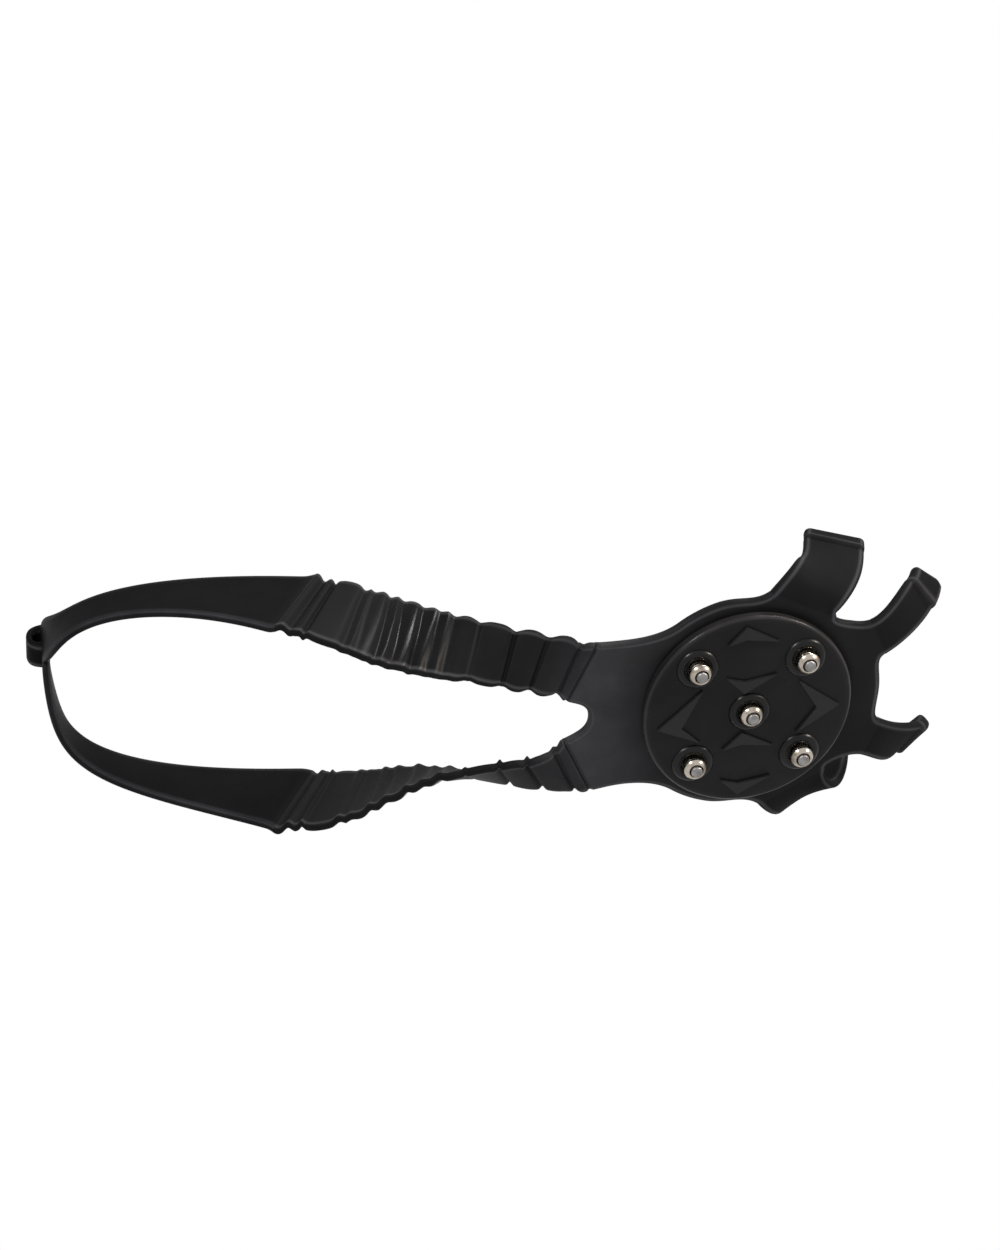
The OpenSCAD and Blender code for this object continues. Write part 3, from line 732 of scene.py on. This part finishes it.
bloom = bloom_share * np.exp(-(((flat_grid[:, 0] - bloom_x) / bloom_w) ** 2))
rubbed = np.maximum(edge_line(from_edge), bloom)
web = moulded(
    "sole_web_moulding", web_points, web_faces, harness_rubber, edge=np.concatenate([rubbed, rubbed, [0, 0]])
)
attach(web, "sole")
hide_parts("sole_web")


# Toe hooks: four tongues of the same moulding that curl up round the toe of the foot. Each is
# thickest in the bead along its tip, by which it is pulled on: an upright face, then a chamfer.
# Handling has left them duller than the web.
hook_t, hook_bend, hook_flare = 2.8, 0.45, 7.0
bead_h, bead_out, bead_face = 7.0, 1.5, 0.65
bead_wear, bead_wear_w, handled = 0.8, 0.5, 2.0
tip_round, hook_ring = 0.9, 0.1
hooks = {
    "side": {
        "root": side_root, "angle": side_angle, "out": 12.0, "reach": 0.9, "lean": 14.0,
        "tip_lean": 12.0, "height": 29.5, "straight": 0.78, "turn": 17.0, "root_w": side_root_w,
        "tip_w": 19.0, "belly": 0.0,
    },
    "front": {
        "root": front_root, "angle": front_angle, "out": 21.5, "reach": 0.5, "lean": -1.0,
        "tip_lean": -8.0, "height": 17.0, "straight": 0.36, "turn": 28.0, "root_w": front_root_w,
        "tip_w": 11.5, "belly": 2.2,
    },
}
hook_taper, belly_lead = 4, 0.8
# Lengths of the bead's lower edge and of the tip's round, and place of the rubbed line, in steps
# of hook_ring
bead_rings, tip_rings, wear_rings = 6, 5, 7

# The same rubber, dulled by handling: less sheen, so it stays dark from every side
dull_rubber = rubber("dull harness rubber", "#151516", rough=0.42, gloss=0.015, **harness_skin)


def section(flat_steps=20, arc_steps=5):
    """Rows of (side, lift, out, rise) for a ribbon's section with round edges: the first two
    place the corner, the last two the point on its arc."""
    rows = []
    for k in range(4):
        side, lift = (1 if k in (0, 3) else -1), (1 if k < 2 else -1)
        for a in np.radians(np.linspace(90 * k, 90 * k + 90, arc_steps + 1)):
            rows.append((side, lift, math.cos(a), math.sin(a)))
        if k in (0, 2):
            rows += [(side * (1 - 2 * i / flat_steps), lift, 0, lift) for i in range(1, flat_steps)]
    return np.array(rows)


def ribbon(at, rate, wide, width, thick, out=0.0, slant=0.0):
    """Rings of a ribbon along a path, with the outward and sideways vectors of each ring and each
    point's place across the ribbon. A slanted ring runs back on the side that wide points to."""
    run = rate / np.linalg.norm(rate, axis=1)[:, None]
    square = wide - (wide * run).sum(axis=1)[:, None] * run
    square /= np.linalg.norm(square, axis=1)[:, None]
    u = square - run * np.tan(np.radians(np.broadcast_to(slant, len(run))))[:, None]
    v = np.cross(run, square)
    side, lift, turn_u, turn_v = section().T
    width, thick, out = (np.broadcast_to(value, len(run))[:, None] for value in (width, thick, out))
    r = thick * edge_share
    x = side * (width / 2 - r) + r * turn_u
    y = out + lift * (thick / 2 - r) + r * turn_v
    rings = at[:, None] + u[:, None] * x[..., None] + v[:, None] * y[..., None]
    return rings, v, square, x, width / 2 - np.abs(x)


def swept(rings, mirrored):
    """Points and faces of the closed skin over a row of rings."""
    n, m = rings.shape[:2]
    points = rings.reshape(-1, 3) * (flip if mirrored else 1)
    faces = [tuple(range(m))]
    for k in range(n - 1):
        for i in range(m):
            j = (i + 1) % m
            faces.append((k * m + i, k * m + m + i, k * m + m + j, k * m + j))
    faces.append(tuple(range(n * m - 1, n * m - m - 1, -1)))
    return points, [face[::-1] for face in faces] if mirrored else faces


def hook_handles(size):
    """Handles of a hook's path, from its root on the web to its tip."""
    n, e = along(size["angle"]), across(size["angle"])
    tip = size["root"] + n * size["out"] + e * size["lean"] + up * size["height"]
    tip_dir = up + e * math.tan(math.radians(size["tip_lean"])) + n * math.tan(math.radians(hook_flare))
    tip_dir /= np.linalg.norm(tip_dir)
    return [size["root"], size["root"] + n * size["out"] * size["reach"],
            tip - tip_dir * size["height"] * size["straight"], tip]


for kind, size in hooks.items():
    handles = hook_handles(size)
    tip_rate = np.linalg.norm(bezier_rate(handles, [1.0])[0])
    bead_t, step = 1 - bead_h / tip_rate, hook_ring / tip_rate
    chamfer_t = 1 - bead_h * (1 - bead_face) / tip_rate
    # Rings of the hook, closest together at the bead, at its chamfer and at the tip
    t = np.concatenate([
        np.linspace(0, bead_t - 2 * step, 60), bead_t + step * np.array([0, 1.5, 3, 4.5, 6, 7.5, 9]),
        np.linspace(bead_t + 14 * step, chamfer_t - 4 * step, 8), chamfer_t + step * np.array([-2, 0, 2, 4]),
        np.linspace(chamfer_t + 8 * step, 1 - 6 * step, 5), 1 - step * np.array([4, 2.6, 1.4, 0.6, 0]),
    ])
    chamfer = np.clip((t - chamfer_t) / (1 - chamfer_t), 0, 1)
    bead = ease((t - bead_t) / (bead_rings * step)) * (1 - chamfer)
    tip = np.clip((t - 1 + tip_rings * step) / (tip_rings * step), 0, 1)
    end = 1 - np.sqrt(np.clip(1 - tip**2, 0, 1))
    width = size["tip_w"] + (size["root_w"] - size["tip_w"]) * (1 - t) ** hook_taper
    width = width - bead_out * chamfer - tip_round * end
    thick = web_t + (hook_t - web_t) * np.clip(t / hook_bend, 0, 1) + bead_out * bead - tip_round * end
    wide = np.stack([across(size["angle"] + size["turn"] * s) for s in ease(t)])
    belly = size["belly"] * np.sin(math.pi * t**belly_lead) ** 2
    rings, _, _, _, inside = ribbon(
        bezier(handles, t) - wide * belly[:, None] / 2, bezier_rate(handles, t), wide, width + belly, thick,
        bead_out / 2 * bead,
    )
    to_bead = np.abs(t - bead_t - wear_rings * step)[:, None] * tip_rate + 0 * inside
    rubbed = np.maximum(edge_line(inside), bead_wear * np.exp(-((to_bead.ravel() / bead_wear_w) ** 2)))
    worn_dull = np.repeat(-handled * ease(t / hook_bend), rings.shape[1])
    for hand, mirrored in (("left", False), ("right", True)):
        points, faces = swept(rings, mirrored)
        hook = moulded(
            f"{kind}_hook_{hand}_moulding", points, faces, dull_rubber, edge=rubbed, shine=worn_dull
        )
        mirror = flip if mirrored else 1
        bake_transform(hook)
        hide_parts(f"{kind}_hook_{hand}_bend", f"{kind}_hook_{hand}")


# Side bands: two corrugated bands of the same moulding. Each leaves the web flat, twists on edge
# along the side of the foot and meets the heel strap behind a raised rib. Crisp grooves beside
# the web turn to soft, shiny folds where the band is drawn tight round the waist.
joint = np.array([-135.0, 35.0, seat_z + 23.5])
joint_slope, joint_w, strap_t, joint_slant = 23.0, 33.5, 2.4, 10.0
band_w, band_root_run, band_joint_run = 18.5, 20.0, 36.0
waist_in, waist_up = 6.0, 3.5
twist_start, twist_lead, band_taper, root_flare = 0.12, 0.65, 1.4, 8.0
ring_step = 0.25
# Each groove: its place along the band, its depth and its half width
grooves = [
    (3.2, 1.3, 0.75), (12.3, 1.3, 0.7), (21.5, 1.2, 0.7), (32.2, 0.5, 0.6), (40.0, 0.9, 1.6),
    (44.9, 0.6, 1.3), (49.7, 1.0, 1.3), (56.4, 0.8, 1.6), (61.2, 0.9, 1.2), (67.0, 0.5, 1.5),
    (70.3, 0.9, 1.4), (80.7, 1.2, 0.7), (84.6, 1.2, 1.2),
]
crown_h, notch_w, notch_top, notch_bottom = 0.4, 2.3, 1.4, 1.3
calm_place, calm_w, calm_share = 52.0, 16.0, 0.75
wobble_mm, fold_mm, fold_h = 0.9, 9.0, 0.3
ridge_back, ridge_w, ridge_h = 1.1, 2.3, 1.1
bulge_mm, fold_lay = 0.9, 6.0
root_fade, joint_fade = 2.0, 1.2
root_bloom, root_bloom_run = 0.6, 11.0
shine_drawn, shine_ends, shine_inner = 1.0, -1.2, -1.5
full_place, full_w, full_mm = 65.0, 11.0, 2.0
thin_place, thin_w, thin_mm = 30.0, 10.0, 1.0

# The same rubber, stretched: blacker and shiny, so the crests of its folds mirror the lamps
stretched_rubber = rubber("stretched harness rubber", "#0d0d0e", rough=0.38, gloss=0.048, **harness_skin)

# The half of the heel strap that the band runs into
heel_reach, strap_rise, heel_round, heel_drop = 204.0, 30.0, 27.0, 6.0
side_run, side_swell = 51.0, 1.5
slope = math.radians(joint_slope)
strap_half = [
    np.array([-heel_reach, 0, joint[2] + strap_rise]),
    np.array([-heel_reach, heel_round, joint[2] + strap_rise - heel_drop]),
    joint + [-side_run * math.cos(slope), side_swell, side_run * math.sin(slope)],
    joint,
]
joint_dir = joint - strap_half[2]
joint_dir /= np.linalg.norm(joint_dir)
band_handles = [band_root, band_root + band_dir * band_root_run, joint + joint_dir * band_joint_run, joint]


def band_at(t):
    """Path of the left band, drawn in and lifted at the waist of the foot."""
    return bezier(band_handles, t) + np.sin(math.pi * np.asarray(t))[:, None] ** 2 * [0, -waist_in, waist_up]


# One tree sinks each groove to its own depth, draws the band's edges in beside it, raises the
# last rib and lets the folds of the drawn middle wander.
tree, given = node_tree(
    "Band corrugation", Grooves="Object", Crown="Float", Calm="Float", Notch_width="Float", Notch_top="Float",
    Notch_bottom="Float", Wobble="Float", Fold_size="Float", Fold_height="Float", Ridge_place="Float",
    Ridge_width="Float", Ridge_height="Float", Rubber="Material",
)
run, over, calm, fade, groove_d, groove_w = (
    add_node(tree, "GeometryNodeInputNamedAttribute", {"Name": key}, data_type="FLOAT")
    for key in ("run", "over", "calm", "fade", "depth", "half_width")
)
outward, sideways = (
    add_node(tree, "GeometryNodeInputNamedAttribute", {"Name": key}, data_type="FLOAT_VECTOR")
    for key in ("outward", "sideways")
)
spot = add_node(tree, "GeometryNodeInputPosition")


def bell(off, spread):
    """Adds a bell curve of a distance to the tree and returns its last node."""
    off = add_node(tree, "ShaderNodeMath", {0: off, 1: spread}, operation="DIVIDE")
    fall = add_node(tree, "ShaderNodeMath", {0: off, 1: off}, operation="MULTIPLY")
    fall = add_node(tree, "ShaderNodeMath", {0: fall, 1: -1.0}, operation="MULTIPLY")
    return add_node(tree, "ShaderNodeMath", {0: fall}, operation="EXPONENT")


def clouds(layer):
    """Adds soft noise from -1 to 1 over the band's face to the tree and returns its last node."""
    lay = add_node(tree, "ShaderNodeMath", {0: over, 1: fold_lay * mm}, operation="MULTIPLY")
    where = add_node(tree, "ShaderNodeCombineXYZ", {"X": run, "Y": lay, "Z": layer})
    size = add_node(tree, "ShaderNodeMath", {0: 1.0, 1: given.outputs["Fold_size"]}, operation="DIVIDE")
    noise = add_node(tree, "ShaderNodeTexNoise", {"Vector": where, "Scale": size, "Detail": 1.0})
    return add_node(tree, "ShaderNodeMath", {0: noise, 1: 2.0, 2: -1.0}, operation="MULTIPLY_ADD")


wander = clouds(0.01)
for share in (given.outputs["Wobble"], calm):
    wander = add_node(tree, "ShaderNodeMath", {0: wander, 1: share}, operation="MULTIPLY")
here = add_node(tree, "ShaderNodeMath", {0: run, 1: wander}, operation="ADD")
here = add_node(tree, "ShaderNodeCombineXYZ", {"X": here})
places = add_node(tree, "GeometryNodeObjectInfo", {"Object": given.outputs["Grooves"]}).outputs["Geometry"]
nearest = add_node(tree, "GeometryNodeSampleNearest", {"Geometry": places, "Sample Position": here})
depth, half_width = (
    add_node(tree, "GeometryNodeSampleIndex", {"Geometry": places, "Value": value, "Index": nearest})
    for value in (groove_d, groove_w)
)
place = add_node(
    tree, "GeometryNodeSampleIndex",
    {"Geometry": places, "Value": spot, "Index": nearest}, data_type="FLOAT_VECTOR",
)
off = add_node(tree, "ShaderNodeVectorMath", {0: here, 1: place}, operation="DISTANCE").outputs["Value"]
sunk = bell(off, half_width)
for share in (depth, fade):
    sunk = add_node(tree, "ShaderNodeMath", {0: sunk, 1: share}, operation="MULTIPLY")
ridge = add_node(tree, "ShaderNodeMath", {0: run, 1: given.outputs["Ridge_place"]}, operation="SUBTRACT")
ridge = bell(ridge, given.outputs["Ridge_width"])
lift = add_node(tree, "ShaderNodeMath", {0: given.outputs["Crown"], 1: fade}, operation="MULTIPLY")
lift = add_node(tree, "ShaderNodeMath", {0: lift, 1: sunk}, operation="SUBTRACT")
lift = add_node(
    tree, "ShaderNodeMath",
    {0: ridge, 1: given.outputs["Ridge_height"], 2: lift}, operation="MULTIPLY_ADD",
)
folds = clouds(0.03)
for share in (calm, given.outputs["Fold_height"]):
    folds = add_node(tree, "ShaderNodeMath", {0: folds, 1: share}, operation="MULTIPLY")
lift = add_node(tree, "ShaderNodeMath", {0: lift, 1: folds}, operation="ADD")
upper = add_node(tree, "ShaderNodeMath", {0: over, 1: 0.0}, operation="GREATER_THAN")
notch_size = add_node(
    tree, "ShaderNodeMapRange",
    {"Value": upper, "To Min": given.outputs["Notch_bottom"], "To Max": given.outputs["Notch_top"]},
)
kept = add_node(tree, "ShaderNodeMath", {0: calm, 1: given.outputs["Calm"]}, operation="MULTIPLY")
kept = add_node(tree, "ShaderNodeMath", {0: 1.0, 1: kept}, operation="SUBTRACT")
notch_size = add_node(tree, "ShaderNodeMath", {0: notch_size, 1: kept}, operation="MULTIPLY")
lobe = bell(off, given.outputs["Notch_width"])
lobe = add_node(tree, "ShaderNodeMath", {0: lobe, 1: fade}, operation="MULTIPLY")
edge_side = add_node(tree, "ShaderNodeMath", {0: over}, operation="SIGN")
draw = add_node(tree, "ShaderNodeMath", {0: over}, operation="ABSOLUTE")
draw = add_node(tree, "ShaderNodeMath", {0: draw, 1: 3.0}, operation="POWER")
for share in (edge_side, lobe, notch_size):
    draw = add_node(tree, "ShaderNodeMath", {0: draw, 1: share}, operation="MULTIPLY")
raised = add_node(tree, "ShaderNodeVectorMath", {0: outward, "Scale": lift}, operation="SCALE")
drawn = add_node(tree, "ShaderNodeVectorMath", {0: sideways, "Scale": draw}, operation="SCALE")
shift = add_node(tree, "ShaderNodeVectorMath", {0: raised, 1: drawn}, operation="SUBTRACT")
moved = add_node(tree, "GeometryNodeSetPosition", {"Geometry": given.outputs["Geometry"], "Offset": shift})
real = add_node(tree, "GeometryNodeRealizeInstances", {0: moved})
dressed = add_node(tree, "GeometryNodeSetMaterial", {0: real, "Material": given.outputs["Rubber"]})
add_node(tree, "NodeGroupOutput", {0: dressed})

fine = np.linspace(0, 1, 2001)
length = np.concatenate([[0], np.cumsum(np.linalg.norm(np.diff(band_at(fine), axis=0), axis=1))])
band_l = length[-1]
run_at = np.linspace(0, band_l, int(band_l / ring_step) + 1)
t = np.interp(run_at, length, fine)
nudge = 0.005
rate = band_at(t + nudge) - band_at(t - nudge)
roll = np.radians(90 * t**twist_lead * ease(t / twist_start))[:, None]
level_side = np.cross(rate, up)
level_side /= np.linalg.norm(level_side, axis=1)[:, None]
width = band_w + (joint_w - band_w) * ease(t**band_taper) + (band_root_w - band_w) * (1 - t) ** root_flare
slant = np.where(t < 0.5, wave_slant * ease(t / twist_start), joint_slant) * np.cos(math.pi * t) ** 2
fuller = full_mm * np.exp(-(((run_at - full_place) / full_w) ** 2))
fuller -= thin_mm * np.exp(-(((run_at - thin_place) / thin_w) ** 2))
wide = level_side * np.cos(roll) + up * np.sin(roll)
rings, outward_of, sideways_of, x, inside = ribbon(
    band_at(t) - wide * fuller[:, None] / 2, rate, wide, width + fuller,
    web_t + (strap_t - web_t) * t, slant=slant,
)
drawn_share = np.exp(-(((run_at - calm_place) / calm_w) ** 2))
over = x / (width / 2)[:, None]
rings -= outward_of[:, None] * (bulge_mm * drawn_share[:, None] * over**2)[..., None]
end_fade = np.clip(np.minimum(run_at / root_fade, (band_l - run_at) / joint_fade), 0, 1)
groove_places, groove_depths, groove_widths = np.array(grooves).T
groove_piece = moulded(
    "grooves", np.stack([groove_places, 0 * groove_places, 0 * groove_places], axis=1), [], harness_rubber,
    depth=groove_depths * mm, half_width=groove_widths * mm,
)
m = rings.shape[1]
outer = np.tile(section()[:, 1] > 0, len(t))
root_grey = root_bloom * bloom_share * np.repeat(np.exp(-((run_at / root_bloom_run) ** 2)), m)
rubbed = np.maximum(edge_line(inside), root_grey)
shiny = np.repeat(shine_ends + (shine_drawn - shine_ends) * drawn_share, m)
for hand, mirrored in (("left", False), ("right", True)):
    points, faces = swept(rings, mirrored)
    mirror = flip if mirrored else np.ones(3)
    band = moulded(
        f"side_band_{hand}_moulding", points, faces, stretched_rubber, smooth_to=60, edge=rubbed,
        run=np.repeat(run_at * mm, m), over=over.ravel(), calm=np.repeat(drawn_share, m),
        fade=np.repeat(end_fade, m), shine=np.where(outer, shiny, shine_inner),
        outward=np.repeat(outward_of * mirror, m, axis=0),
        sideways=np.repeat(sideways_of * mirror, m, axis=0),
    )
    grown(
        band, tree, Grooves=groove_piece, Crown=crown_h * mm, Calm=calm_share, Notch_width=notch_w * mm,
        Notch_top=notch_top * mm, Notch_bottom=notch_bottom * mm, Wobble=wobble_mm * mm,
        Fold_size=fold_mm * mm, Fold_height=fold_h * mm, Ridge_place=(band_l - ridge_back) * mm,
        Ridge_width=ridge_w * mm, Ridge_height=ridge_h * mm, Rubber=stretched_rubber,
    )
    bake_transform(band)
    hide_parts(f"side_band_{hand}")
bpy.data.objects.remove(groove_piece)


# Heel strap: the smooth band of the same moulding that goes round the heel, widest at the
# side bands and peaked at the back.
strap_w, strap_taper, strap_lean, slant_fade = 14.0, 3.8, 6.0, 6.0
peak_h, peak_w = 16.0, 12.0
heel_swell, swell_lead = 3.0, 0.75
strap_wear, lower_wear, lower_in, lower_w = 0.5, 0.8, 0.4, 0.3

# The same rubber with a plain, even skin: black and almost without sheen
strap_rubber = rubber("smooth strap rubber", "#0c0c0d", rough=0.45, gloss=0.012, **harness_skin)


def strap_at(q):
    """Path of the strap: q runs from 1 at the left joint through 0 at the heel to -1."""
    half = bezier(strap_half, np.abs(q))
    swell = heel_swell * np.sin(math.pi * np.abs(q) ** swell_lead) ** 2
    peak = peak_h * np.exp(-((half[:, 1] / peak_w) ** 2))
    return np.stack([half[:, 0] - swell, np.sign(q) * half[:, 1], half[:, 2] + peak], axis=1)


# Rings of the strap, closest together at the joints
q = np.concatenate([np.linspace(1, 0.93, 24), np.linspace(0.92, -0.92, 221), np.linspace(-0.93, -1, 24)])
nudge = 0.01
rate = strap_at(q - nudge) - strap_at(q + nudge)
level_side = np.cross(rate, up)
level_side /= np.linalg.norm(level_side, axis=1)[:, None]
lean = np.radians(strap_lean * (1 - q * q))[:, None]
strap_run = np.concatenate([[0], np.cumsum(np.linalg.norm(np.diff(strap_at(q), axis=0), axis=1))])
from_joint = np.minimum(strap_run, strap_run[-1] - strap_run)
rings, _, _, x, inside = ribbon(
    strap_at(q), rate, up * np.cos(lean) - level_side * np.sin(lean),
    strap_w + (joint_w - strap_w) * np.abs(q) ** strap_taper, strap_t,
    ridge_h * np.exp(-(((from_joint + ridge_back) / ridge_w) ** 2)),
    np.sign(q) * joint_slant * np.abs(q) ** slant_fade,
)
points, faces = swept(rings, False)
lower_line = np.where(x < 0, lower_wear * np.exp(-(((inside - lower_in) / lower_w) ** 2)), 0).ravel()
strap = moulded(
    "heel_strap_moulding", points, faces, strap_rubber,
    edge=np.maximum(strap_wear * edge_line(inside), lower_line),
)
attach(strap, "heel")
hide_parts("heel_strap")


# Pull loop: a small bow of the same moulding on the back of the heel strap, by which it is
# pulled over the heel. Its feet thicken where they run into the strap.
loop_h, loop_up, loop_w, loop_t, loop_gap, loop_seat = 12.0, 1.2, 8.5, 2.0, 2.2, 0.3
foot_t, foot_share, foot_in_strap = 1.4, 0.14, 1.3
# The middle of the strap, and its place beside the loop's edge
back, beside = strap_at(np.array([0.0, loop_w / 2 / (3 * heel_round)]))
face_x = min(back[0], beside[0]) - strap_t / 2 - loop_seat
foot = (loop_h - loop_t) / 2
tan_lean = math.tan(math.radians(strap_lean))
bow = np.array([-(loop_gap + loop_t / 2) * 4 / 3, 0, 0])
low = np.array([face_x + (loop_up - foot) * tan_lean, 0, back[2] + loop_up - foot])
high = np.array([face_x + (loop_up + foot) * tan_lean, 0, back[2] + loop_up + foot])
handles = [low, low + bow, high + bow, high]
t = np.linspace(0, 1, 80)
rooted = np.exp(-((np.minimum(t, 1 - t) / foot_share) ** 2))
rings, _, _, _, inside = ribbon(
    bezier(handles, t) + rooted[:, None] * [foot_in_strap, 0, 0], bezier_rate(handles, t),
    np.tile([0.0, 1.0, 0.0], (len(t), 1)), loop_w, loop_t + foot_t * rooted,
)
points, faces = swept(rings, False)
loop = moulded("pull_loop_moulding", points, faces, strap_rubber, edge=edge_line(inside))
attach(loop, "heel")
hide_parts("pull_loop")
